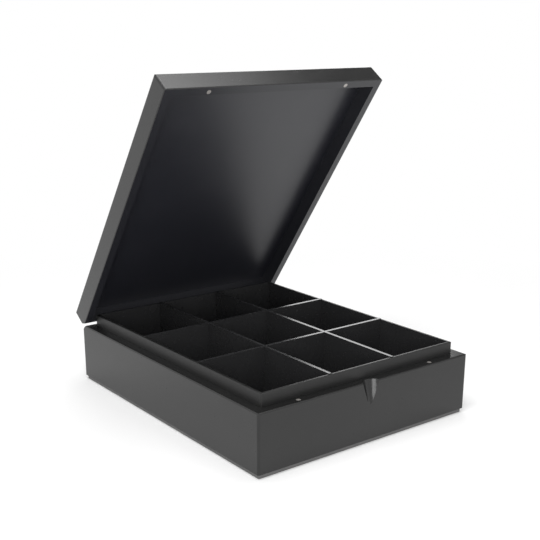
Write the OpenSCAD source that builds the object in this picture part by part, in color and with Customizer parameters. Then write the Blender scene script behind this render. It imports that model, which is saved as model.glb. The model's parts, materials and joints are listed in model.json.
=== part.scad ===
// Tea bag organizer box: a lacquered wooden box with a hinged lid, a proud liner and nine compartments.
// Millimetres. X runs to the right, Y to the back and Z up. The origin is the middle of the underside.
// The lid is drawn open, turned about the hinge pins in the groove between the bevelled back rims.

/* [Overall] */
// Width of the box, left to right
body_w = 230; // [180:1:320]
// Depth of the box, front to back
body_d = 283; // [220:1:360]
// Angle that the lid stands open
lid_open = 54.8; // [0:0.1:118]

/* [Walls] */
// Height of the walls above the bottom board
wall_h = 51; // [40:0.1:90]
// Thickness of the walls
wall_t = 9.7; // [9:0.1:14]
// Radius of the upright outer corners
corner_r = 2; // [0.6:0.1:4]
// Radius of the long outer edges
edge_r = 1.4; // [0.4:0.1:1.6]
// Width and height of the bevels along the back rims of base and lid
back_bevel = 5.4; // [5.2:0.1:5.8]

/* [Bottom board] */
// Thickness of the bottom board
board_t = 4; // [2.5:0.1:8]
// How far the board's edge is set in under the walls
board_inset = 1.5; // [0.2:0.1:3]
// Radius of the board's lower edge
board_edge_r = 0.9; // [0.3:0.1:1.2]

/* [Thumb scoop] */
// Width of the scoop at the rim
scoop_w = 18; // [12:0.5:30]
// Depth of the scoop into the rim
scoop_depth = 6; // [3:0.1:7]
// Height of the scoop down the front
scoop_h = 20; // [10:0.5:32]

/* [Liner] */
// Thickness of the liner boards
liner_t = 2.6; // [2.2:0.1:4]
// How far the liner stands above the rim
liner_rise = 10.7; // [6:0.1:20]
// Gap between the liner and the walls
liner_gap = 0.1; // [0.05:0.05:0.5]
// Radius of the liner's outer top edge
liner_edge_r = 1.2; // [0.4:0.1:1.6]
// Depth of the upright grooves that hold the divider ends
groove_depth = 1.2; // [0.6:0.1:1.5]

/* [Dividers] */
// Thickness of the dividers
divider_t = 2.8; // [1.6:0.1:5]
// How far the dividers stand above the liner
divider_proud = 0.6; // [0:0.1:0.9]
// Gap on each side of a divider in its grooves and slots
slot_gap = 0.1; // [0.05:0.05:0.3]

/* [Lid] */
// Gap all round between the liner and the rails of the shut lid
lid_clearance = 2.3; // [0.6:0.1:2.6]
// Gap between the dividers and the panel of the shut lid
headroom = 3; // [0.5:0.1:20]
// Thickness of the lid panel
panel_t = 5; // [3:0.1:8]
// Width of the rabbet that holds the lid panel
rabbet_w = 4; // [2:0.1:5]
// Gap round the lid panel
panel_gap = 0.1; // [0.05:0.05:0.5]
// Radius of the rails' outer edge at the rim
rim_r = 0.8; // [0.2:0.1:1.2]
// Gap between lid and base when the lid is shut
lid_gap = 0.3; // [0.2:0.05:1]

/* [Magnets] */
// Distance of the magnets from the middle
magnet_x = 72.5; // [30:0.5:80]
// How far behind the middle of the front rail the magnets' centres lie
magnet_offset = 1.1; // [0:0.05:1.2]
// Radius of a magnet
magnet_r = 2; // [1.5:0.1:2.2]
// Thickness of a magnet
magnet_t = 3; // [1.5:0.1:6]
// How far a magnet is sunk below the rim
magnet_sunk = 0.1; // [0.05:0.05:0.5]

/* [Hinges] */
// Distance of each hinge from the middle
hinge_x = 62; // [30:0.5:68]
// Length of a hinge
hinge_len = 24; // [21:0.5:32]
// How far behind the line where the bevels meet the pins lie
axis_out = 2.2; // [2:0.1:2.4]
// Width of a bevel left bare below a leaf
leaf_land = 0.6; // [0.4:0.1:0.8]
// Thickness of a leaf
leaf_t = 1; // [0.9:0.1:1.2]
// Gap between the knuckles and the bevels
knuckle_gap = 0.1; // [0.08:0.02:0.2]
// Gap between neighbouring knuckles
knuckle_play = 0.2; // [0.1:0.05:0.4]
// Radius of the pins
pin_r = 0.8; // [0.6:0.05:0.9]
// Running clearance of the pins in the lid's knuckles
pin_clearance = 0.05; // [0.02:0.01:0.1]
// Radius of the pins' riveted heads
pin_head_r = 1.3; // [1.1:0.05:1.4]
// Height of the pins' riveted heads
pin_head_h = 0.6; // [0.3:0.1:1]

/* [Hinge screws] */
// Distance of the screws from the middle of their hinge
screw_x = 8; // [4:0.1:8]
// Radius of a screw's head
head_r = 1.6; // [1.3:0.1:1.7]
// Height of a screw's head
head_h = 0.9; // [0.7:0.1:0.9]
// Radius of a screw's shank
shank_r = 0.7; // [0.5:0.05:0.8]
// Length of a screw
screw_len = 6; // [4:0.5:6]

/* [Hidden] */
$fn = 48;
// How far a cut runs past what it cuts
over = 1;
// Sliding fit of glued-in metal pieces in their bores
seat_gap = 0.04;

rim_z = board_t + wall_h;
front_y = -body_d / 2;
back_y = body_d / 2;

// The rails of the lid clear the liner, and its panel clears the dividers
lid_z = rim_z + lid_gap;
rail_t = wall_t + liner_gap - lid_clearance;
lid_h = liner_rise + divider_proud + headroom - lid_gap + panel_t;

magnet_y = front_y + rail_t / 2 + magnet_offset;

// The hinge pins lie half way between the two rims, in the groove that the bevels form
axis_y = back_y - back_bevel + axis_out;
axis_z = rim_z + lid_gap / 2;
bevel_reach = (axis_out + lid_gap / 2) / sqrt(2);
knuckle_r = bevel_reach - knuckle_gap;
leaf_w = (2 * back_bevel - axis_out + lid_gap / 2) / sqrt(2) - leaf_land;
screw_y = (knuckle_r + leaf_w) / 2;

// The liner stands inside the walls, and the dividers stand inside the liner
liner_w = body_w - 2 * (wall_t + liner_gap);
liner_d = body_d - 2 * (wall_t + liner_gap);
liner_h = wall_h + liner_rise;
bay_w = liner_w - 2 * liner_t;
bay_d = liner_d - 2 * liner_t;
divider_h = liner_h + divider_proud;
long_x = bay_w / 6;
cross_y = bay_d / 6;
divider_reach = groove_depth - slot_gap;

// The scoop is an upright cone whose axis stands outside the front face
scoop_r = (pow(scoop_w / 2, 2) + pow(scoop_depth, 2)) / (2 * scoop_depth);
scoop_out = scoop_r - scoop_depth;

lacquer = [0.07, 0.07, 0.075];
board_edge = [0.22, 0.22, 0.22];
nickel = [0.72, 0.71, 0.69];

// Quarter turns that bring a board from the front to the named side of its frame
function quarters(side) = search([side], ["front", "right", "back", "left"])[0];

// Length of the named side of a w by d frame, and the other size of that frame
function run_of(side, w, d) = side == "front" || side == "back" ? w : d;
function depth_of(side, w, d) = run_of(side, d, w);

// What rounding a corner at the origin takes away from it
module corner_waste(r) {
    difference() {
        translate([-over, -over]) square(r + over);
        translate([r, r]) circle(r);
    }
}

// A w by d rectangle with rounded corners, centred on the origin
module rounded_plan(w, d, r) {
    difference() {
        square([w, d], center = true);
        for (mx = [0, 1], my = [0, 1])
            mirror([mx, 0]) mirror([0, my]) translate([-w / 2, -d / 2]) corner_waste(r);
    }
}

// Section of a board, outer face at 0, with its outer top edge rounded and its outer foot if asked
module board_section(t, h, r_top, r_foot) {
    difference() {
        square([t, h]);
        translate([0, h]) mirror([0, 1]) corner_waste(r_top);
        if (r_foot > 0) corner_waste(r_foot);
    }
}

// One of the four mitred boards of a w by d frame, lying along the given side
module frame_board(side, w, d, t, z, h, r_corner, r_top, r_foot = 0) {
    run = run_of(side, w, d);
    deep = depth_of(side, w, d);
    rotate([0, 0, 90 * quarters(side)])
    intersection() {
        translate([-run / 2, -deep / 2, z])
        rotate([90, 0, 90])
        linear_extrude(run)
        board_section(t, h, r_top, r_foot);
        translate([0, 0, z - over])
        linear_extrude(h + 2 * over)
        intersection() {
            rounded_plan(run, deep, r_corner);
            mitred_plan(run, deep, t + over);
        }
    }
}

// Plan of a board with both ends cut at 45 degrees
module mitred_plan(run, deep, t) {
    polygon([
        [-run / 2, -deep / 2],
        [run / 2, -deep / 2],
        [run / 2 - t, t - deep / 2],
        [t - run / 2, t - deep / 2]
    ]);
}

// What the bevel takes away along a back rim at height z, below it on the base and above it on the lid
module back_waste(z) {
    translate([-body_w / 2 - over, back_y - back_bevel, z])
    rotate([-45, 0, 0])
    cube([body_w + 2 * over, 2 * back_bevel, 2 * back_bevel]);
}

module base_wall(side) {
    difference() {
        frame_board(side, body_w, body_d, wall_t, board_t, wall_h, corner_r, edge_r);
        back_waste(rim_z);
    }
}

module base_front_wall() {
    color(lacquer)
    difference() {
        base_wall("front");
        thumb_scoop();
        for (s = [-1, 1]) magnet_bore(s, rim_z - magnet_sunk - magnet_t);
    }
}

module thumb_scoop() {
    slope = scoop_depth / scoop_h;
    translate([0, front_y - scoop_out, rim_z - scoop_h])
    cylinder(h = scoop_h + over, r1 = scoop_out, r2 = scoop_r + slope * over);
}

module magnet_bore(s, z) {
    translate([s * magnet_x, magnet_y, z])
    cylinder(h = magnet_t + magnet_sunk + over, r = magnet_r + seat_gap);
}

module base_back_wall() {
    color(lacquer)
    difference() {
        base_wall("back");
        for (s = [-1, 1]) leaf_mortise(s, -1);
    }
}

module base_left_wall() {
    color(lacquer) base_wall("left");
}

module base_right_wall() {
    color(lacquer) base_wall("right");
}

// The board under the walls, with a rounded lower edge on all four sides
module bottom_board() {
    w = body_w - 2 * board_inset;
    d = body_d - 2 * board_inset;
    color(board_edge)
    intersection() {
        linear_extrude(board_t) rounded_plan(w, d, corner_r);
        board_slab(w, d);
        rotate([0, 0, 90]) board_slab(d, w);
    }
}

// A slab as thick as the board, run along X, with its two lower long edges rounded
module board_slab(run, deep) {
    translate([-run / 2 - over, 0, 0])
    rotate([90, 0, 90])
    linear_extrude(run + 2 * over)
    difference() {
        translate([-deep / 2, 0]) square([deep, board_t]);
        for (m = [0, 1]) mirror([m, 0]) translate([-deep / 2, 0]) corner_waste(board_edge_r);
    }
}

// A liner board, grooved where the ends of two dividers stand
module liner_board(side) {
    across = run_of(side, long_x, cross_y);
    reach = depth_of(side, liner_w, liner_d) / 2 - liner_t;
    slot_w = divider_t + 2 * slot_gap;
    color(lacquer)
    difference() {
        frame_board(side, liner_w, liner_d, liner_t, board_t, liner_h, liner_edge_r, liner_edge_r);
        rotate([0, 0, 90 * quarters(side)])
        for (s = [-1, 1])
            translate([s * across - slot_w / 2, -reach - groove_depth, board_t - over])
            cube([slot_w, groove_depth + over, liner_h + 2 * over]);
    }
}

module liner_front() {
    liner_board("front");
}

module liner_back() {
    liner_board("back");
}

module liner_left() {
    liner_board("left");
}

module liner_right() {
    liner_board("right");
}

// A divider along X, slotted half way for the two that cross it
module divider(bay, crossing, slot_z, slot_h) {
    length = bay + 2 * divider_reach;
    slot_w = divider_t + 2 * slot_gap;
    difference() {
        translate([-length / 2, -divider_t / 2, board_t])
        cube([length, divider_t, divider_h]);
        for (s = [-1, 1])
            translate([s * crossing - slot_w / 2, -divider_t / 2 - over, slot_z])
            cube([slot_w, divider_t + 2 * over, slot_h]);
    }
}

// The long dividers are slotted from above
module long_divider(s) {
    slot_z = board_t + divider_h / 2 - slot_gap;
    color(lacquer)
    translate([s * long_x, 0, 0])
    rotate([0, 0, 90])
    divider(bay_d, cross_y, slot_z, divider_h);
}

// The cross dividers are slotted from below
module cross_divider(s) {
    color(lacquer)
    translate([0, s * cross_y, 0])
    divider(bay_w, long_x, board_t - over, divider_h / 2 + over);
}

module long_divider_left() {
    long_divider(-1);
}

module long_divider_right() {
    long_divider(1);
}

module cross_divider_front() {
    cross_divider(-1);
}

module cross_divider_back() {
    cross_divider(1);
}

module magnet(s, z) {
    color(nickel)
    translate([s * magnet_x, magnet_y, z])
    cylinder(h = magnet_t, r = magnet_r);
}

module base_magnet_left() {
    magnet(-1, rim_z - magnet_sunk - magnet_t);
}

module base_magnet_right() {
    magnet(1, rim_z - magnet_sunk - magnet_t);
}

// Turns what is drawn shut to where the open lid holds it
module on_lid() {
    translate([0, axis_y, axis_z])
    rotate([-lid_open, 0, 0])
    translate([0, -axis_y, -axis_z])
    children();
}

// A lid rail with the rabbet for the panel in its inner top edge
module lid_rail(side) {
    rabbet_out = rail_t - rabbet_w;
    difference() {
        frame_board(side, body_w, body_d, rail_t, lid_z, lid_h, corner_r, edge_r, rim_r);
        translate([rabbet_out - body_w / 2, rabbet_out - body_d / 2, lid_z + lid_h - panel_t])
        cube([body_w - 2 * rabbet_out, body_d - 2 * rabbet_out, panel_t + over]);
        back_waste(lid_z);
    }
}

module lid_front_rail() {
    color(lacquer)
    on_lid()
    difference() {
        lid_rail("front");
        for (s = [-1, 1]) magnet_bore(s, lid_z - over);
    }
}

module lid_back_rail() {
    color(lacquer)
    on_lid()
    difference() {
        lid_rail("back");
        for (s = [-1, 1]) leaf_mortise(s, 1);
    }
}

module lid_left_rail() {
    color(lacquer) on_lid() lid_rail("left");
}

module lid_right_rail() {
    color(lacquer) on_lid() lid_rail("right");
}

module lid_panel() {
    inset = rail_t - rabbet_w + panel_gap;
    color(lacquer)
    on_lid()
    translate([inset - body_w / 2, inset - body_d / 2, lid_z + lid_h - panel_t])
    cube([body_w - 2 * inset, body_d - 2 * inset, panel_t]);
}

module lid_magnet_left() {
    on_lid() magnet(-1, lid_z + magnet_sunk);
}

module lid_magnet_right() {
    on_lid() magnet(1, lid_z + magnet_sunk);
}

// Brings what is drawn with the axis of a hinge at 0 and a bevel's face below it to the base's bevel,
// where way is -1, or to the shut lid's, where it is 1
module on_bevel(s, way) {
    translate([s * hinge_x, axis_y, axis_z])
    mirror([0, 0, way > 0 ? 1 : 0])
    rotate([-45, 0, 0])
    children();
}

// Pocket in a bevel that a hinge leaf lies in, with the holes for its screws
module leaf_mortise(s, way) {
    w = hinge_len + 2 * seat_gap;
    on_bevel(s, way) {
        translate([-w / 2, -seat_gap, -bevel_reach - leaf_t])
        cube([w, leaf_w + 2 * seat_gap, leaf_t + over]);
        for (k = [-1, 1])
            at_screw(k)
            cylinder(h = screw_len + seat_gap, r = shank_r + seat_gap, $fn = 32);
    }
}

// Where a screw stands in a leaf, pointing into the wood
module at_screw(k) {
    translate([k * screw_x, screw_y, -bevel_reach])
    rotate([180, 0, 0])
    children();
}

// A countersunk screw, its head's flat face at 0 and its point along Z
module screw(fit = 0) {
    translate([0, 0, -fit]) cylinder(h = head_h + fit, r1 = head_r + fit, r2 = shank_r + fit, $fn = 32);
    cylinder(h = screw_len + fit, r = shank_r + fit, $fn = 32);
}

// A hinge leaf, sunk flush with its bevel, with its knuckles, whose spans along X are given
module leaf(s, way, spans) {
    color(nickel)
    on_bevel(s, way)
    difference() {
        union() {
            translate([-hinge_len / 2, 0, -bevel_reach - leaf_t])
            cube([hinge_len, leaf_w, leaf_t]);
            for (span = spans) knuckle(span[0], span[1]);
        }
        rod(-hinge_len, hinge_len, pin_r + (way > 0 ? pin_clearance : seat_gap));
        for (k = [-1, 1]) at_screw(k) screw(seat_gap);
    }
}

// A knuckle with the neck that joins it to its leaf
module knuckle(from, to) {
    rod(from, to, knuckle_r);
    translate([from, 0, -bevel_reach - leaf_t / 2])
    cube([to - from, 0.75 * knuckle_r, bevel_reach + (leaf_t - knuckle_r) / 2]);
}

// A cylinder along X between two places
module rod(from, to, r) {
    translate([from, 0, 0])
    rotate([0, 90, 0])
    cylinder(h = to - from, r = r);
}

// The base leaf has the two outer knuckles, and the lid leaf the middle one
module base_leaf(s) {
    inner = hinge_len / 6 + knuckle_play / 2;
    leaf(s, -1, [[-hinge_len / 2, -inner], [inner, hinge_len / 2]]);
}

module lid_leaf(s) {
    inner = hinge_len / 6 - knuckle_play / 2;
    on_lid() leaf(s, 1, [[-inner, inner]]);
}

module hinge_base_leaf_left() {
    base_leaf(-1);
}

module hinge_base_leaf_right() {
    base_leaf(1);
}

module hinge_lid_leaf_left() {
    lid_leaf(-1);
}

module hinge_lid_leaf_right() {
    lid_leaf(1);
}

// A pin with a riveted head on the end of each outer knuckle
module hinge_pin(s) {
    color(nickel)
    translate([s * hinge_x, axis_y, axis_z]) {
        rod(-hinge_len / 2 - pin_head_h / 2, hinge_len / 2 + pin_head_h / 2, pin_r);
        for (m = [0, 1])
            mirror([m, 0, 0])
            translate([hinge_len / 2, 0, 0])
            rotate([0, 90, 0])
            cylinder(h = pin_head_h, r1 = pin_head_r, r2 = pin_r);
    }
}

module hinge_pin_left() {
    hinge_pin(-1);
}

module hinge_pin_right() {
    hinge_pin(1);
}

module hinge_screws(way) {
    color(nickel)
    for (s = [-1, 1], k = [-1, 1]) on_bevel(s, way) at_screw(k) screw();
}

module base_hinge_screws() {
    hinge_screws(-1);
}

module lid_hinge_screws() {
    on_lid() hinge_screws(1);
}

base_front_wall();
base_back_wall();
base_left_wall();
base_right_wall();
bottom_board();
liner_front();
liner_back();
liner_left();
liner_right();
long_divider_left();
long_divider_right();
cross_divider_front();
cross_divider_back();
base_magnet_left();
base_magnet_right();
lid_front_rail();
lid_back_rail();
lid_left_rail();
lid_right_rail();
lid_panel();
lid_magnet_left();
lid_magnet_right();
hinge_base_leaf_left();
hinge_base_leaf_right();
hinge_lid_leaf_left();
hinge_lid_leaf_right();
hinge_pin_left();
hinge_pin_right();
base_hinge_screws();
lid_hinge_screws();
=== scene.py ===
"""Looks of a black lacquered tea bag organizer box, dressed around its CAD frame.

The box stands open on a white studio floor. The CAD solids keep their shapes and get
lacquer, stain and metal finishes; the hinge screws are modelled here with their threads
and cross recesses. All lengths are in metres, in the CAD's own frame: X runs to the
right, Y to the back and Z up from the middle of the underside.
"""

import json
import logging
import math
from dataclasses import dataclass
from enum import Enum
from typing import Any, Iterable, Sequence

import bmesh
import bpy
from mathutils import Matrix, Vector


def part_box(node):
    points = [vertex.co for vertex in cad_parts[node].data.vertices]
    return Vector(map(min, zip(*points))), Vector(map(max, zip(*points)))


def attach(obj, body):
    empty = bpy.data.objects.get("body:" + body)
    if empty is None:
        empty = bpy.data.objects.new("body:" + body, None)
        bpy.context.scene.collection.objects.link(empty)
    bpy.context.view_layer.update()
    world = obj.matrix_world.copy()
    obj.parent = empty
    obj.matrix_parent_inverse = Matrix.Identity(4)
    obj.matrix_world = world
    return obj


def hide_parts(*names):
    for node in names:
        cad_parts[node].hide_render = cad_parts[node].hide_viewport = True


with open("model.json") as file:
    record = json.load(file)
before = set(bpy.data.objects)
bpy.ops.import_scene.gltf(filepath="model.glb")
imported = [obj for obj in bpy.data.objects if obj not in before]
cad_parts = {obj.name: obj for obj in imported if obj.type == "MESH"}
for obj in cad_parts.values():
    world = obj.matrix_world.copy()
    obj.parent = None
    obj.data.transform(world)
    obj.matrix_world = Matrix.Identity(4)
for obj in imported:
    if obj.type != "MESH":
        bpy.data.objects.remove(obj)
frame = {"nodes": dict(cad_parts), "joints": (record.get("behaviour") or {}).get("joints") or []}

log = logging.getLogger("tea_box")

MM = 0.001

# The seam between the rims of the shut box, and the depth of the lid's recess.
LID_GAP = 0.3 * MM
LID_RECESS = 14.0 * MM

Colour = tuple[float, float, float]
Triple = tuple[float, float, float]
Span = tuple[float, float]


class Grain(Enum):
    """The way the wood's fibres run under a finish."""

    ACROSS = "x"
    FRONT_TO_BACK = "y"


def from_srgb(red: int, green: int, blue: int) -> Colour:
    """Turns a colour as a screen shows it into the linear one that a shader takes.

    Args:
        red: Red, 0 to 255.
        green: Green, 0 to 255.
        blue: Blue, 0 to 255.

    Returns:
        The linear colour.
    """
    levels = (level / 255 for level in (red, green, blue))
    return tuple(v / 12.92 if v <= 0.04045 else ((v + 0.055) / 1.055) ** 2.4 for v in levels)


def around(items: Sequence[Any]) -> list[tuple[Any, Any]]:
    """Pairs each item with the one after it, and the last with the first."""
    return list(zip(items, (*items[1:], items[0])))


class Signal:
    """A node's output, on which Python's operators add Math nodes."""

    def __init__(self, recipe: "Recipe", socket: bpy.types.NodeSocket | None) -> None:
        """Wraps a socket.

        Args:
            recipe: The node tree that the socket belongs to.
            socket: The output, or None where the node has none.
        """
        self.recipe = recipe
        self.socket = socket

    def __add__(self, other: Any) -> "Signal":
        """self + other."""
        return self.recipe.maths("ADD", self, other)

    def __radd__(self, other: Any) -> "Signal":
        """other + self."""
        return self.recipe.maths("ADD", other, self)

    def __sub__(self, other: Any) -> "Signal":
        """self - other."""
        return self.recipe.maths("SUBTRACT", self, other)

    def __rsub__(self, other: Any) -> "Signal":
        """other - self."""
        return self.recipe.maths("SUBTRACT", other, self)

    def __mul__(self, other: Any) -> "Signal":
        """self * other."""
        return self.recipe.maths("MULTIPLY", self, other)

    def __rmul__(self, other: Any) -> "Signal":
        """other * self."""
        return self.recipe.maths("MULTIPLY", other, self)

    def over(self, low: float, high: float) -> "Signal":
        """Fades smoothly from 0 at low to 1 at high.

        Args:
            low: Where the fade starts.
            high: Where it ends.

        Returns:
            The mask.
        """
        settings = {"interpolation_type": "SMOOTHSTEP"}
        values = {"Value": self, "From Min": low, "From Max": high}
        return self.recipe.node("ShaderNodeMapRange", settings, values)


class Recipe:
    """The node tree of a material or of the world, with one method that adds its nodes.

    Attributes:
        MIX_MASK: Number of the Mix node's input for the mask.
        MIX_LOW: Number of its input for the colour where the mask is 0.
        MIX_HIGH: Number of its input for the colour where the mask is 1.
        MIXED_COLOUR: Number of its output for colours.
        tree: The node tree.
    """

    MIX_MASK = 0
    MIX_LOW = 6
    MIX_HIGH = 7
    MIXED_COLOUR = 2

    def __init__(self, owner: bpy.types.Material | bpy.types.World) -> None:
        """Empties the owner's node tree.

        Args:
            owner: The material or world whose nodes are made here.
        """
        owner.use_nodes = True
        self.tree = owner.node_tree
        self.tree.nodes.clear()

    def node(self, kind: str, settings: dict[str, Any] | None = None,
             values: dict[str | int, Any] | None = None, output: str | int = 0) -> Signal:
        """Adds a node.

        Args:
            kind: The node's type name.
            settings: Its attributes, set first.
            values: What goes into its sockets, by name or number: a value or a Signal.
            output: Which of its outputs to return.

        Returns:
            The output as a Signal, an empty one where the node has no output.
        """
        made = self.tree.nodes.new(kind)
        for name, value in (settings or {}).items():
            setattr(made, name, value)
        for name, value in (values or {}).items():
            if isinstance(value, Signal):
                self.tree.links.new(value.socket, made.inputs[name])
            else:
                made.inputs[name].default_value = value
        return Signal(self, made.outputs[output] if made.outputs else None)

    def maths(self, operation: str, *values: Any) -> Signal:
        """Adds a Math node.

        Args:
            operation: The Math node's operation.
            values: Its values or Signals.

        Returns:
            The result.
        """
        return self.node("ShaderNodeMath", {"operation": operation}, dict(enumerate(values)))

    def blend(self, mask: Signal, low: Any, high: Any) -> Signal:
        """Mixes two colours.

        Args:
            mask: 0 gives low and 1 gives high.
            low: A colour or a Signal.
            high: A colour or a Signal.

        Returns:
            The mixed colour.
        """
        values = {
            self.MIX_MASK: mask,
            self.MIX_LOW: self._opaque(low),
            self.MIX_HIGH: self._opaque(high),
        }
        return self.node("ShaderNodeMix", {"data_type": "RGBA"}, values, self.MIXED_COLOUR)

    @staticmethod
    def _opaque(colour: Any) -> Any:
        """A plain colour with full alpha, or the Signal as it is."""
        return colour if isinstance(colour, Signal) else (*colour, 1.0)

    def point(self) -> Signal:
        """Where a point lies on the object, as a vector."""
        return self.node("ShaderNodeTexCoord", output="Object")

    def noise(self, size: float, detail: float = 2.0, roughness: float = 0.5,
              stretch: Triple = (1.0, 1.0, 1.0)) -> Signal:
        """Noise whose blotches are about as large as size.

        Args:
            size: Width of a blotch in metres.
            detail: How many finer layers are added.
            roughness: How strong the finer layers are.
            stretch: How many times longer the blotches are along X, Y and Z.

        Returns:
            The noise, around 0.5.
        """
        values = {0: self.point(), 1: tuple(1.0 / factor for factor in stretch)}
        vector = self.node("ShaderNodeVectorMath", {"operation": "MULTIPLY"}, values)
        values = {"Vector": vector, "Scale": 1.0 / size, "Detail": detail, "Roughness": roughness}
        return self.node("ShaderNodeTexNoise", None, values)

    def relief(self, height: Signal, depth: float, under: Signal | None = None) -> Signal:
        """Turns heights into a bumped normal.

        Args:
            height: Height from 0 to 1.
            depth: What a height of 1 stands for, in metres.
            under: The normal to start from, if it isn't the surface's own.

        Returns:
            The normal.
        """
        values = {"Height": height, "Distance": depth, "Strength": 1.0}
        if under is not None:
            values["Normal"] = under
        return self.node("ShaderNodeBump", None, values)

    def seen(self) -> Signal:
        """Finds what the eye looks at, straight, in a gloss or through glass.

        Returns:
            A mask that is 1 for it.
        """
        camera, glossy, transmission = (
            self.node("ShaderNodeLightPath", output=f"Is {kind} Ray")
            for kind in ("Camera", "Glossy", "Transmission"))
        return self.maths("MAXIMUM", self.maths("MAXIMUM", camera, glossy), transmission)

    def surface(self, shader: Signal) -> None:
        """Sends a shader to the material's output."""
        self.node("ShaderNodeOutputMaterial", None, {"Surface": shader})

    def principled(self, values: dict[str, Any]) -> None:
        """Covers the surface with the principled shader of these values."""
        self.surface(self.node("ShaderNodeBsdfPrincipled", None, values))


def new_recipe(name: str) -> tuple[bpy.types.Material, Recipe]:
    """Makes an empty material.

    Args:
        name: The material's name.

    Returns:
        The material and its recipe.
    """
    material = bpy.data.materials.new(name)
    return material, Recipe(material)


@dataclass(frozen=True)
class Hollow:
    """The inside of the tray or of the lid, in the shut box.

    Attributes:
        half_width: Half its size along X.
        half_depth: Half its size along Y.
        floor: Height of its floor.
        ceiling: Height of its ceiling.
        rim: Height of the rim that gets the walls' coat and its painted light, where one is.
        opened: How far what surrounds it is turned open about the pivot, in degrees.
        pivot: Y and Z of the hinge pins.
        edge: How far past its surfaces the mask starts and ends its fade.
    """

    half_width: float
    half_depth: float
    floor: float = -1.0
    ceiling: float = 1.0
    rim: float = -1.0
    opened: float = 0.0
    pivot: Span = (0.0, 0.0)
    edge: Span = (0.02 * MM, 0.06 * MM)

    def mask(self, recipe: Recipe) -> Signal:
        """Finds the surfaces of the hollow, and its rim.

        Args:
            recipe: The nodes of the material that covers them.

        Returns:
            A mask that is 1 in the hollow, on its walls, floor and ceiling and on the rim.
        """
        point = recipe.point()
        x, y, z = (recipe.node("ShaderNodeSeparateXYZ", None, {0: point}, axis) for axis in "XYZ")
        pivot_y, pivot_z = self.pivot
        cos, sin = math.cos(math.radians(self.opened)), math.sin(math.radians(self.opened))
        shut_y = (y - pivot_y) * cos - (z - pivot_z) * sin + pivot_y
        shut_z = (y - pivot_y) * sin + (z - pivot_z) * cos + pivot_z
        past_side = recipe.maths("ABSOLUTE", x) - self.half_width
        past_end = recipe.maths("ABSOLUTE", shut_y) - self.half_depth
        past = recipe.maths("MAXIMUM", past_side, past_end)
        past = recipe.maths("MAXIMUM", past, shut_z - self.ceiling)
        past = recipe.maths("MAXIMUM", past, self.floor - shut_z)
        past = recipe.maths("MINIMUM", past, shut_z - self.rim)
        return 1 - past.over(*self.edge)


@dataclass(frozen=True)
class InnerCoatAndPaintedLight:
    """The satin coat on the surfaces of a hollow.

    Attributes:
        hollow: Where it is.
        colour: Linear colour of the lacquer, lighter than the outer lacquer's: painted light for the
            shaded hollow.
        faded: Linear colour where it has rubbed or gathered dust, with the same painted light.
        roughness: Its mean roughness.
    """

    hollow: Hollow
    colour: Colour
    faded: Colour
    roughness: float


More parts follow.
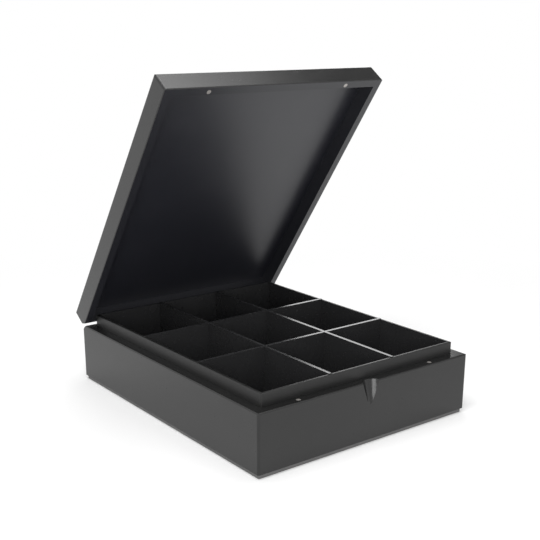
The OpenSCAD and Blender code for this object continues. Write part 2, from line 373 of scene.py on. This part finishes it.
@dataclass(frozen=True)
class Lacquer:
    """Sprayed black lacquer over fine board, with orange peel, faint grain and fine rub marks.

    Attributes:
        name: Start of the materials' names.
        colour: Linear colour of the lacquer.
        faded: Linear colour where it has rubbed or gathered dust.
        roughness: Its mean roughness.
        inner_coat_and_light: The coat in a hollow, if the boards have one; its lighter colour is
            painted light.
        ior: Its index of refraction, higher where it shines more.
        mottle_size: Width of the faintly faded patches.
        mottle_span: The noise levels between which a patch fades in.
        mottle_fade: How far a patch fades, from 0 to 1.
        mottle_rough: How much the patches change the roughness.
        cloud_size: Width of the duller and glossier clouds.
        cloud_rough: How much the clouds change the roughness.
        rub_size: Width of the rub marks.
        rub_stretch: How many times longer the rub marks are along X, Y and Z.
        rub_span: The noise levels between which a rub mark fades in.
        rub_fade: How far a rub mark fades, from 0 to 1.
        rub_rough: How much rougher a rub mark is.
        fibre_width: Width of the wood's fibres.
        fibre_length: How many times longer than wide a fibre is.
        grain_depth: Depth of the grain that shows through.
        peel_size: Width of the orange peel's cells.
        peel_depth: Depth of the orange peel.
        wave_size: Width of the long waves of the sanded board.
        wave_depth: Depth of the long waves.
    """

    name: str
    colour: Colour
    faded: Colour
    roughness: float
    inner_coat_and_light: InnerCoatAndPaintedLight | None = None
    ior: float = 1.5
    mottle_size: float = 38 * MM
    mottle_span: Span = (0.42, 0.75)
    mottle_fade: float = 0.5
    mottle_rough: float = 0.07
    cloud_size: float = 9 * MM
    cloud_rough: float = 0.05
    rub_size: float = 0.35 * MM
    rub_stretch: Triple = (14.0, 9.0, 3.0)
    rub_span: Span = (0.66, 0.74)
    rub_fade: float = 0.06
    rub_rough: float = 0.03
    fibre_width: float = 0.7 * MM
    fibre_length: float = 40.0
    grain_depth: float = 0.003 * MM
    peel_size: float = 1.6 * MM
    peel_depth: float = 0.004 * MM
    wave_size: float = 30 * MM
    wave_depth: float = 0.02 * MM

    def material(self, grain: Grain) -> bpy.types.Material:
        """Makes the lacquer for boards whose grain runs one way.

        Args:
            grain: The way the fibres run.

        Returns:
            The material.
        """
        material, recipe = new_recipe(f"{self.name}_{grain.value}")
        mottle = recipe.noise(self.mottle_size, detail=3.0, roughness=0.6)
        cloud = recipe.noise(self.cloud_size)
        rubs = recipe.noise(self.rub_size, detail=1.0, stretch=self.rub_stretch).over(*self.rub_span)
        wear = mottle.over(*self.mottle_span) * self.mottle_fade + rubs * self.rub_fade
        colour = recipe.blend(wear, self.colour, self.faded)
        rough = ((cloud - 0.5) * self.cloud_rough + (mottle - 0.5) * self.mottle_rough
                 + rubs * self.rub_rough + self.roughness)
        # In the hollow the colour turns to the inner coat's lighter one, which is painted light for
        # the shaded hollow; the rougher satin there is the coat's own.
        if self.inner_coat_and_light is not None:
            inside = self.inner_coat_and_light.hollow.mask(recipe)
            coat = recipe.blend(wear, self.inner_coat_and_light.colour, self.inner_coat_and_light.faded)
            colour = recipe.blend(inside, colour, coat)
            rough = rough + inside * (self.inner_coat_and_light.roughness - self.roughness)
        recipe.principled({
            "Base Color": colour,
            "Roughness": rough,
            "IOR": self.ior,
            "Normal": self._relief(recipe, grain),
        })
        return material

    def _relief(self, recipe: Recipe, grain: Grain) -> Signal:
        """Lays the orange peel over the grain and the board's long waves.

        Args:
            recipe: The material's nodes.
            grain: The way the fibres run.

        Returns:
            The bumped normal.
        """
        stretch = tuple(self.fibre_length if axis == grain.value else 1.0 for axis in "xyz")
        fibres = recipe.noise(self.fibre_width, detail=3.0, roughness=0.6, stretch=stretch)
        peel = recipe.noise(self.peel_size, detail=1.0)
        wave = recipe.noise(self.wave_size, detail=1.0)
        normal = recipe.relief(wave, self.wave_depth)
        normal = recipe.relief(fibres, self.grain_depth, normal)
        return recipe.relief(peel, self.peel_depth, normal)


@dataclass(frozen=True)
class Stain:
    """Stained board, matt and a little fibrous, with a lacquered face in a hollow.

    Attributes:
        name: The material's name.
        colour: Linear colour.
        fibre_colour: Linear colour of the fibres that took less stain.
        roughness: Its mean roughness.
        inner_coat_and_light: The coat on the face in the hollow; its lighter colour is painted
            light.
        ior: Its index of refraction.
        fibre_size: Width of the fibres.
        fibre_stretch: How many times longer the fibres are along X, Y and Z.
        fibre_span: The noise levels between which a fibre pales.
        fibre_share: The fibres' part in the paleness; the blotches have the rest.
        fibre_rough: How much the fibres change the roughness.
        fibre_depth: Depth of the fibres.
        blotch_size: Width of the blotches.
        blotch_span: The noise levels between which a blotch pales.
        dust_span: The noise levels between which the coat fades.
        filled: How far the coat fills the fibres, from 0 to 1.
    """

    name: str
    colour: Colour
    fibre_colour: Colour
    roughness: float
    inner_coat_and_light: InnerCoatAndPaintedLight
    ior: float = 1.45
    fibre_size: float = 0.4 * MM
    fibre_stretch: Triple = (6.0, 6.0, 1.0)
    fibre_span: Span = (0.45, 0.75)
    fibre_share: float = 0.6
    fibre_rough: float = 0.3
    fibre_depth: float = 0.03 * MM
    blotch_size: float = 12 * MM
    blotch_span: Span = (0.4, 0.8)
    dust_span: Span = (0.35, 0.8)
    filled: float = 0.85

    def material(self) -> bpy.types.Material:
        """Makes the stain.

        Returns:
            The material.
        """
        material, recipe = new_recipe(self.name)
        fibres = recipe.noise(
            self.fibre_size, detail=4.0, roughness=0.7, stretch=self.fibre_stretch)
        blotch = recipe.noise(self.blotch_size)
        pale = (fibres.over(*self.fibre_span) * self.fibre_share
                + blotch.over(*self.blotch_span) * (1 - self.fibre_share))
        # On the face in the hollow the colour turns to the inner coat's lighter one, which is
        # painted light for the shaded compartments; the filled fibres and satin roughness are the
        # coat's own.
        inside = self.inner_coat_and_light.hollow.mask(recipe)
        bare = recipe.blend(pale, self.colour, self.fibre_colour)
        coat = recipe.blend(blotch.over(*self.dust_span), self.inner_coat_and_light.colour, self.inner_coat_and_light.faded)
        matt = (fibres - 0.5) * self.fibre_rough + self.roughness
        recipe.principled({
            "Base Color": recipe.blend(inside, bare, coat),
            "Roughness": matt + inside * (self.inner_coat_and_light.roughness - matt),
            "IOR": self.ior,
            "Normal": recipe.relief(fibres * (1 - inside * self.filled), self.fibre_depth),
        })
        return material


@dataclass(frozen=True)
class Nickel:
    """Nickel plate over steel, with brush marks, fine pits and handling marks.

    Attributes:
        name: The material's name.
        colour: Linear colour of clean plate.
        tarnish: Linear colour where it has dulled.
        roughness: Its mean roughness.
        brush: How many times longer the brush marks are along X, Y and Z.
        brush_size: Width of the brush marks.
        brush_rough: How much rougher a brush mark is.
        brush_depth: Depth of the brush marks.
        dull_size: Width of the dull patches.
        dull_span: The noise levels between which a patch dulls.
        dull_rough: How much rougher a dull patch is.
        pit_size: Width of the pits.
        pit_span: The noise levels between which a pit starts.
        pit_share: The pits' part in the tarnish; the dull patches have the rest.
        pit_depth: Depth of a pit as a part of a brush mark's.
    """

    name: str
    colour: Colour
    tarnish: Colour
    roughness: float
    brush: Triple
    brush_size: float = 0.12 * MM
    brush_rough: float = 0.08
    brush_depth: float = 0.004 * MM
    dull_size: float = 1.8 * MM
    dull_span: Span = (0.4, 0.75)
    dull_rough: float = 0.14
    pit_size: float = 0.25 * MM
    pit_span: Span = (0.7, 0.8)
    pit_share: float = 0.3
    pit_depth: float = 0.5

    def material(self) -> bpy.types.Material:
        """Makes the plate.

        Returns:
            The material.
        """
        material, recipe = new_recipe(self.name)
        brushed = recipe.noise(self.brush_size, stretch=self.brush)
        dull = recipe.noise(self.dull_size, detail=3.0, roughness=0.6).over(*self.dull_span)
        pits = recipe.noise(self.pit_size, detail=1.0).over(*self.pit_span)
        worn = dull * (1 - self.pit_share) + pits * self.pit_share
        recipe.principled({
            "Base Color": recipe.blend(worn, self.colour, self.tarnish),
            "Metallic": 1.0,
            "Roughness": dull * self.dull_rough + brushed * self.brush_rough + self.roughness,
            "Normal": recipe.relief(brushed - pits * self.pit_depth, self.brush_depth),
        })
        return material


@dataclass(frozen=True)
class FloorPaper:
    """White paper that keeps the box's shadow, and is plain white to the eye further out.

    Attributes:
        white: Its reflectance.
        lift: Light that the eye sees on it besides what the lamps give it.
        fade: The distances from the middle between which it turns plain white.
    """

    white: float = 0.8
    lift: float = 0.24
    fade: Span = (0.32, 0.68)

    def material(self) -> bpy.types.Material:
        """Makes the paper.

        Returns:
            The material.
        """
        material, recipe = new_recipe("floor_paper")
        colour = (self.white, self.white, self.white, 1.0)
        paper = recipe.node("ShaderNodeBsdfDiffuse", None, {"Color": colour})
        seen = recipe.seen()
        lift = recipe.node("ShaderNodeEmission", None, {"Strength": seen * self.lift})
        near = recipe.node("ShaderNodeAddShader", None, {0: paper, 1: lift})
        far = recipe.node("ShaderNodeEmission", None, {"Strength": 1.0})
        values = {0: recipe.point()}
        distance = recipe.node("ShaderNodeVectorMath", {"operation": "LENGTH"}, values, "Value")
        values = {0: distance.over(*self.fade) * seen, 1: near, 2: far}
        recipe.surface(recipe.node("ShaderNodeMixShader", None, values))
        return material


def tray_hollow() -> Hollow:
    """Measures the hollow inside the liner on the frame.

    Returns:
        The hollow, down to the bottom board.
    """
    return Hollow(
        half_width=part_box("liner_right")[0].x,
        half_depth=-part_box("liner_front")[1].y,
        floor=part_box("bottom_board")[1].z)


def lid_hollow() -> Hollow:
    """Works out the lid's recess from the frame.

    Returns:
        The recess as it is in the shut box, with its rim.
    """
    joint = frame["joints"][0]
    rail_low, rail_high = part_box("lid_right_rail")
    wall_low, wall_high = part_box("base_front_wall")
    rim = wall_high.z + LID_GAP
    return Hollow(
        half_width=rail_low.x,
        half_depth=-wall_low.y - (rail_high.x - rail_low.x),
        ceiling=rim + LID_RECESS,
        rim=rim,
        opened=-joint["range_deg"][0],
        pivot=tuple(joint["pos_m"][1:]))


TRAY_HOLLOW = tray_hollow()
LID_HOLLOW = lid_hollow()

BLACK = (0.0085, 0.0085, 0.0085)
FADED_BLACK = (0.013, 0.013, 0.0126)

OUTER = Lacquer("outer_lacquer", BLACK, FADED_BLACK, 0.24)
# The tray's outer colour is darker than the walls' lacquer: painted shade on the liner's outer
# faces. Its inner coat is much lighter: painted light in the shaded compartments.
TRAY = Lacquer(
    "tray_lacquer", (0.006, 0.006, 0.006), (0.009, 0.009, 0.0087), 0.43,
    InnerCoatAndPaintedLight(TRAY_HOLLOW, (0.027, 0.027, 0.028), (0.033, 0.033, 0.034), 0.27),
    peel_depth=0.0015 * MM, wave_depth=0.01 * MM, grain_depth=0.001 * MM)
# The lid's inner coat is lighter and bluer than its outer lacquer; the lightness is painted light in
# the shaded recess and on the rim.
LID = Lacquer(
    "lid_lacquer", BLACK, FADED_BLACK, 0.24,
    InnerCoatAndPaintedLight(LID_HOLLOW, (0.020, 0.0205, 0.0250), (0.024, 0.0245, 0.0300), 0.33), ior=1.56)
# The panel's inner coat is lighter and bluer than its outer lacquer and a little darker than the
# rails'; the lightness is painted light on the panel's shaded inside.
PANEL = Lacquer(
    "panel_lacquer", BLACK, FADED_BLACK, 0.26,
    InnerCoatAndPaintedLight(LID_HOLLOW, (0.0178, 0.0184, 0.0242), (0.0222, 0.0228, 0.0290), 0.35), ior=1.66)
# The bottom board is light grey outside. Its top in the tray takes a colour near the tray's inner
# coat, lighter than the outer lacquer: painted light in the shaded compartments.
BOARD = Stain(
    "board_stain", from_srgb(100, 100, 100), from_srgb(120, 119, 117), 0.55,
    InnerCoatAndPaintedLight(TRAY_HOLLOW, (0.022, 0.022, 0.023), (0.030, 0.030, 0.031), 0.36))
MAGNET = Nickel(
    "magnet_nickel", (0.46, 0.44, 0.42), (0.30, 0.28, 0.26), 0.42, (1.0, 1.0, 1.0))
HINGE = Nickel(
    "hinge_nickel", (0.66, 0.65, 0.62), (0.42, 0.41, 0.39), 0.26, (18.0, 1.0, 1.0))


def dress(nodes: Iterable[str], material: bpy.types.Material) -> None:
    """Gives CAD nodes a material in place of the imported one.

    Args:
        nodes: The nodes' names.
        material: The material.
    """
    for name in nodes:
        slots = frame["nodes"][name].data.materials
        slots.clear()
        slots.append(material)
        log.info("%s is dressed in %s", name, material.name)


def add_object(name: str, data: bpy.types.ID) -> bpy.types.Object:
    """Puts a mesh, lamp or camera into the scene.

    Args:
        name: The object's name.
        data: The mesh, lamp or camera.

    Returns:
        The object.
    """
    made = bpy.data.objects.new(name, data)
    bpy.context.scene.collection.objects.link(made)
    return made


def add_mesh(name: str, mesh: bmesh.types.BMesh,
             material: bpy.types.Material) -> bpy.types.Object:
    """Turns built faces into an object, and frees them.

    Args:
        name: The object's name.
        mesh: The faces.
        material: Their material.

    Returns:
        The object.
    """
    data = bpy.data.meshes.new(name)
    mesh.to_mesh(data)
    mesh.free()
    data.materials.append(material)
    return add_object(name, data)


@dataclass
class Boards:
    """Boards of one lacquer, whose grain runs along their length.

    Attributes:
        lacquer: Their finish.
        along_x: The CAD nodes that run from side to side.
        along_y: The CAD nodes that run from front to back.
    """

    lacquer: Lacquer
    along_x: tuple[str, ...]
    along_y: tuple[str, ...]

    def build(self) -> None:
        """Dresses the boards."""
        dress(self.along_x, self.lacquer.material(Grain.ACROSS))
        dress(self.along_y, self.lacquer.material(Grain.FRONT_TO_BACK))


@dataclass
class Carcass(Boards):
    """The outer walls and the bottom board.

    Attributes:
        board: The bottom board's CAD node.
    """

    lacquer: Lacquer = OUTER
    along_x: tuple[str, ...] = ("base_front_wall", "base_back_wall")
    along_y: tuple[str, ...] = ("base_left_wall", "base_right_wall")
    board: str = "bottom_board"

    def build(self) -> None:
        """Dresses the walls and the board."""
        super().build()
        dress([self.board], BOARD.material())


@dataclass
class Tray(Boards):
    """The liner and the dividers that stand in it."""

    lacquer: Lacquer = TRAY
    along_x: tuple[str, ...] = (
        "liner_front", "liner_back", "cross_divider_front", "cross_divider_back")
    along_y: tuple[str, ...] = (
        "liner_left", "liner_right", "long_divider_left", "long_divider_right")


@dataclass
class Lid(Boards):
    """The lid's rails and panel.

    Attributes:
        panel: The panel's CAD node.
    """

    lacquer: Lacquer = LID
    along_x: tuple[str, ...] = ("lid_front_rail", "lid_back_rail")
    along_y: tuple[str, ...] = ("lid_left_rail", "lid_right_rail")
    panel: str = "lid_panel"

    def build(self) -> None:
        """Dresses the rails and the panel."""
        super().build()
        dress([self.panel], PANEL.material(Grain.ACROSS))


@dataclass
class Magnets:
    """The disc magnets that hold the lid shut.

    Attributes:
        nodes: Their CAD nodes.
    """

    nodes: tuple[str, ...] = (
        "base_magnet_left", "base_magnet_right", "lid_magnet_left", "lid_magnet_right")

    def build(self) -> None:
        """Dresses the magnets."""
        dress(self.nodes, MAGNET.material())


@dataclass(frozen=True)
class Screw:
    """A countersunk screw with a thread and a cross recess, which points down -Z.

    Attributes:
        length: Its length.
        head_radius: Radius of the head.
        head_height: Height of the head.
        edge_height: Height of the head's upright edge.
        root_radius: Radius of the shank between the threads.
        thread_radius: Radius over the threads.
        pitch: Rise of the thread in one turn.
        ridge_slope: How steeply the thread's ridge falls to the shank on both sides.
        tip_length: Length of the tapered tip.
        recess_radius: Reach of the cross recess.
        recess_width: Width of the cross recess's wings.
        recess_depth: Depth of the cross recess.
        recess_taper: Size of the recess's floor as a part of its mouth's.
        sides: How many sides its rings have.
        steps: How many rings one turn of the thread has.
    """

    length: float = 6.0 * MM
    head_radius: float = 1.56 * MM
    head_height: float = 0.88 * MM
    edge_height: float = 0.12 * MM
    root_radius: float = 0.48 * MM
    thread_radius: float = 0.69 * MM
    pitch: float = 0.75 * MM
    ridge_slope: float = 2.5
    tip_length: float = 1.4 * MM
    recess_radius: float = 0.9 * MM
    recess_width: float = 0.36 * MM
    recess_depth: float = 0.5 * MM
    recess_taper: float = 0.55
    sides: int = 24
    steps: int = 8

    def add(self, mesh: bmesh.types.BMesh, seat: Matrix) -> None:
        """Adds the screw's faces.

        Args:
            mesh: Where they go.
            seat: Where the middle of the head's top stands, and which way it faces.
        """
        rings = [self._ring(mesh, seat, radii, height) for radii, height in self._profile()]
        tip = mesh.verts.new(seat @ Vector((0.0, 0.0, -self.length)))
        for upper, lower in zip(rings, rings[1:]):
            for side, other in around(range(self.sides)):
                mesh.faces.new((upper[side], lower[side], lower[other], upper[other]))
        for vertex, other in around(rings[-1]):
            mesh.faces.new((vertex, tip, other))
        self._add_recess(mesh, seat, rings[0])

    def _profile(self) -> list[tuple[list[float], float]]:
        """Works out the rings of the head and of the thread, from the top down.

        Returns:
            Each ring's radii, one for each side, and its height.
        """
        head = [
            (self.head_radius, 0.0),
            (self.head_radius, -self.edge_height),
            (self.root_radius, -self.head_height),
        ]
        rings = [([radius] * self.sides, height) for radius, height in head]
        threaded = self.length - self.head_height
        count = round(threaded / self.pitch * self.steps)
        for step in range(1, count):
            depth = self.head_height + threaded * step / count
            taper = min(1.0, (self.length - depth) / self.tip_length)
            turns = [depth / self.pitch + side / self.sides for side in range(self.sides)]
            rings.append(([self._thread(turn) * taper for turn in turns], -depth))
        return rings

    def _thread(self, turn: float) -> float:
        """The screw's radius at a place along its thread.

        Args:
            turn: How many turns of the thread come before it.

        Returns:
            The radius: a V-shaped ridge between flat roots.
        """
        ridge = max(0.0, 1.0 - self.ridge_slope * abs(turn % 1.0 - 0.5))
        return self.root_radius + (self.thread_radius - self.root_radius) * ridge

    def _ring(self, mesh: bmesh.types.BMesh, seat: Matrix, radii: Sequence[float],
              height: float) -> list[bmesh.types.BMVert]:
        """Adds the vertices of one ring.

        Args:
            mesh: Where they go.
            seat: Where the screw stands.
            radii: Their distances from the screw's axis.
            height: The ring's height.

        Returns:
            The vertices.
        """
        angles = [math.tau * side / self.sides for side in range(self.sides)]
        places = [(r * math.cos(a), r * math.sin(a), height) for r, a in zip(radii, angles)]
        return [mesh.verts.new(seat @ Vector(place)) for place in places]

    def _add_recess(self, mesh: bmesh.types.BMesh, seat: Matrix,
                    rim: Sequence[bmesh.types.BMVert]) -> None:
        """Closes the head with a face that has a tapered cross sunk in it.

        Args:
            mesh: Where the faces go.
            seat: Where the screw stands.
            rim: The vertices round the head's edge.
        """
        half, reach, taper = self.recess_width / 2, self.recess_radius, self.recess_taper
        wing = [(reach, -half), (reach, half), (half, half)]
        outline = []
        for turn in range(4):
            cos, sin = round(math.cos(turn * math.pi / 2)), round(math.sin(turn * math.pi / 2))
            outline += [(x * cos - y * sin, x * sin + y * cos) for x, y in wing]
        mouth = [mesh.verts.new(seat @ Vector((x, y, 0.0))) for x, y in outline]
        floor = [mesh.verts.new(seat @ Vector((x * taper, y * taper, -self.recess_depth)))
                 for x, y in outline]
        edges = [mesh.edges.new(pair) for pair in around(mouth)]
        edges += [mesh.edges.get(pair) for pair in around(rim)]
        up = seat.to_3x3() @ Vector((0, 0, 1))
        bmesh.ops.triangle_fill(mesh, use_beauty=True, edges=edges, normal=up)
        for corner, other in around(range(len(mouth))):
            mesh.faces.new((mouth[other], mouth[corner], floor[corner], floor[other]))
        mesh.faces.new(floor)


@dataclass
class Hinges:
    """The butt hinges on the bevelled back rims, with their pins and screws.

    Attributes:
        leaves: The leaves' CAD nodes.
        pins: The pins' CAD nodes, one for each hinge.
        screws: The screws' CAD nodes, each with the body that it rides on.
        screw_offset: Distance of a hinge's screws from its middle.
        screw: The screw that is modelled here.
    """

    leaves: tuple[str, ...] = (
        "hinge_base_leaf_left", "hinge_base_leaf_right",
        "hinge_lid_leaf_left", "hinge_lid_leaf_right")
    pins: tuple[str, ...] = ("hinge_pin_left", "hinge_pin_right")
    screws: tuple[tuple[str, str], ...] = (
        ("base_hinge_screws", "base"), ("lid_hinge_screws", "lid"))
    screw_offset: float = 8.0 * MM
    screw: Screw = Screw()

    def build(self) -> None:
        """Dresses the leaves and pins, and makes the screws of both leaves."""
        material = HINGE.material()
        dress(self.leaves + self.pins, material)
        for node, body in self.screws:
            mesh = bmesh.new()
            for x in self._screw_places():
                self.screw.add(mesh, self._seat(node, x))
            piece = add_mesh(f"{node}_cross_head", mesh, material)
            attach(piece, body)
            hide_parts(node)
            log.info("%s stands for %s", piece.name, node)

    def _screw_places(self) -> list[float]:
        """Works out where the screws are along X.

        Returns:
            Their places, from left to right.
        """
        middles = [sum(corner.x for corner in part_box(pin)) / 2 for pin in self.pins]
        return [middle + way * self.screw_offset for middle in middles for way in (-1, 1)]

    def _seat(self, node: str, x: float) -> Matrix:
        """Finds where a screw's head lies and which way the screw points.

        Args:
            node: The CAD node of the screws.
            x: The screw's distance from the middle of the box.

        Returns:
            The matrix that brings a screw, head at the origin and point down -Z, to its seat.
        """
        mesh = frame["nodes"][node].data
        reach = 2 * self.screw.head_radius
        points = [v.co for v in mesh.vertices if abs(v.co.x - x) < reach]
        middle = sum(points, Vector()) / len(points)
        outward = max(points, key=lambda p: (p - middle).length) - middle
        head = [p for p in points if (p - middle).dot(outward) < 0]
        tip = [p for p in points if (p - middle).dot(outward) >= 0]
        # The head is the end that is wider along X.
        if self._spread(head) < self._spread(tip):
            head, tip = tip, head
        head_at, tip_at = self._centre(head), self._centre(tip)
        way = Vector((0.0, head_at.y - tip_at.y, head_at.z - tip_at.z)).normalized()
        on_axis = Vector((x, head_at.y, head_at.z))
        top = max(p.dot(way) for p in points)
        seat = on_axis + way * (top - on_axis.dot(way))
        turn = Vector((0, 0, 1)).rotation_difference(way).to_matrix().to_4x4()
        return Matrix.Translation(seat) @ turn

    @staticmethod
    def _centre(points: Sequence[Vector]) -> Vector:
        """Finds the middle of the box round some points.

        Args:
            points: The points.

        Returns:
            The box's middle.
        """
        low = Vector([min(p[i] for p in points) for i in range(3)])
        high = Vector([max(p[i] for p in points) for i in range(3)])
        return (low + high) / 2

    @staticmethod
    def _spread(points: Sequence[Vector]) -> float:
        """How wide the points lie along X."""
        return max(p.x for p in points) - min(p.x for p in points)


@dataclass(frozen=True)
class Card:
    """A dark card beside the box, which the camera doesn't see.

    Attributes:
        azimuth: The direction in which it stands, in degrees from +Y towards +X.
        distance: How far away it stands.
        width: Its width.
        height: Its height.
        grey: Its linear grey.
    """

    azimuth: float = 84.0
    distance: float = 1.3
    width: float = 1.5
    height: float = 1.9
    grey: float = 0.25

    def build(self) -> None:
        """Stands the card up."""
        material, recipe = new_recipe("dark_card")
        colour = (self.grey, self.grey, self.grey, 1.0)
        recipe.surface(recipe.node("ShaderNodeBsdfDiffuse", None, {"Color": colour}))
        mesh = bmesh.new()
        side = self.width / 2
        corners = [(-side, 0.0), (side, 0.0), (side, self.height), (-side, self.height)]
        mesh.faces.new([mesh.verts.new((x, 0.0, z)) for x, z in corners])
        card = add_mesh("dark_card", mesh, material)
        turn = math.radians(self.azimuth)
        card.location = (self.distance * math.sin(turn), self.distance * math.cos(turn), 0.0)
        card.rotation_euler = (0.0, 0.0, -turn)
        card.visible_camera = False


@dataclass(frozen=True)
class Softbox:
    """A rectangular studio lamp that the camera doesn't see.

    Attributes:
        name: Its name.
        place: Where its middle is.
        target: The point that it faces.
        size: Its width and height.
        watts: Its power.
    """

    name: str
    place: Triple
    target: Triple
    size: Span
    watts: float

    def build(self) -> None:
        """Hangs the lamp."""
        data = bpy.data.lights.new(self.name, "AREA")
        data.shape = "RECTANGLE"
        data.size, data.size_y = self.size
        data.energy = self.watts
        lamp = add_object(self.name, data)
        lamp.location = self.place
        aim = Vector(self.target) - Vector(self.place)
        lamp.rotation_euler = aim.to_track_quat("-Z", "Y").to_euler()
        lamp.visible_camera = False
        log.info("lamp %s hangs at %s", self.name, self.place)


@dataclass(frozen=True)
class PhotoCamera:
    """The camera, where the photograph was taken from.

    Attributes:
        place: Where it stands.
        yaw: How far it turns from +Y towards +X, in radians.
        pitch: How far it looks up, in radians.
        focal_px: Its focal length in pixels of the photograph.
        centre_px: The photograph's principal point.
        photo_px: The photograph's width and height in pixels.
        sensor: Its sensor's width in millimetres.
        clip: The nearest and furthest distances that it sees.
    """

    place: Triple = (-513.8 * MM, -672.8 * MM, 330.2 * MM)
    yaw: float = 0.6464
    pitch: float = -0.3158
    focal_px: float = 962.6
    centre_px: Span = (260.5, 340.0)
    photo_px: int = 540
    sensor: float = 36.0
    clip: Span = (0.01, 20.0)

    def build(self) -> None:
        """Sets the camera up."""
        data = bpy.data.cameras.new("camera")
        data.sensor_width = self.sensor
        data.lens = self.focal_px / self.photo_px * self.sensor
        data.shift_x = (self.photo_px / 2 - self.centre_px[0]) / self.photo_px
        data.shift_y = (self.centre_px[1] - self.photo_px / 2) / self.photo_px
        data.clip_start, data.clip_end = self.clip
        camera = add_object("camera", data)
        camera.location = self.place
        camera.rotation_euler = (math.pi / 2 + self.pitch, 0.0, -self.yaw)
        bpy.context.scene.camera = camera
        log.info("the camera stands at %s", self.place)


@dataclass
class Studio:
    """The camera, the white floor, the surroundings, the dark card and the lamps.

    Attributes:
        camera: The photograph's camera.
        paper: The floor's finish.
        floor_radius: Radius of the floor.
        floor_sides: How many sides the floor's edge has.
        surroundings: Brightness of the surroundings as a lamp, which the eye sees as white.
        card: The dark card at the right.
        lamps: The softboxes.
    """

    camera: PhotoCamera = PhotoCamera()
    paper: FloorPaper = FloorPaper()
    floor_radius: float = 3.0
    floor_sides: int = 96
    surroundings: float = 0.45
    card: Card = Card()
    lamps: tuple[Softbox, ...] = (
        Softbox("overhead", (0.35, 0.2, 1.65), (0.3, 0.15, 0.1), (0.95, 0.9), 7.1),
        Softbox("key", (-0.55, -0.35, 1.4), (0.0, 0.0, 0.1), (0.6, 0.6), 10.0),
        Softbox("back_panel", (1.25, 1.2, 0.6), (0.0, 0.0, 0.1), (0.55, 0.8), 2.75),
        Softbox("front_fill", (-0.9, -1.3, 0.5), (0.05, 0.0, 0.15), (1.0, 0.5), 8.0),
    )

    def build(self) -> None:
        """Makes the camera, the floor, the surroundings, the card and the lamps."""
        self.camera.build()
        self._floor()
        self._surroundings()
        for piece in (self.card, *self.lamps):
            piece.build()

    def _floor(self) -> None:
        """Lays the floor."""
        mesh = bmesh.new()
        bmesh.ops.create_circle(
            mesh, cap_ends=True, radius=self.floor_radius, segments=self.floor_sides)
        add_mesh("floor", mesh, self.paper.material())

    def _surroundings(self) -> None:
        """Lights the studio softly all round, and shows white to the eye."""
        world = bpy.data.worlds.new("studio")
        bpy.context.scene.world = world
        recipe = Recipe(world)
        strength = recipe.seen() * (1 - self.surroundings) + self.surroundings
        values = {"Color": (1.0, 1.0, 1.0, 1.0), "Strength": strength}
        light = recipe.node("ShaderNodeBackground", None, values)
        recipe.node("ShaderNodeOutputWorld", None, {"Surface": light})


def main() -> None:
    """Builds the studio and every part of the box."""
    logging.basicConfig(level=logging.INFO, format="%(name)s: %(message)s")
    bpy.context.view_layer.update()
    bpy.context.scene.view_settings.view_transform = "Standard"
    for part in (Studio(), Carcass(), Tray(), Lid(), Magnets(), Hinges()):
        part.build()
        log.info("%s is done", type(part).__name__)


if __name__ == "__main__":
    main()
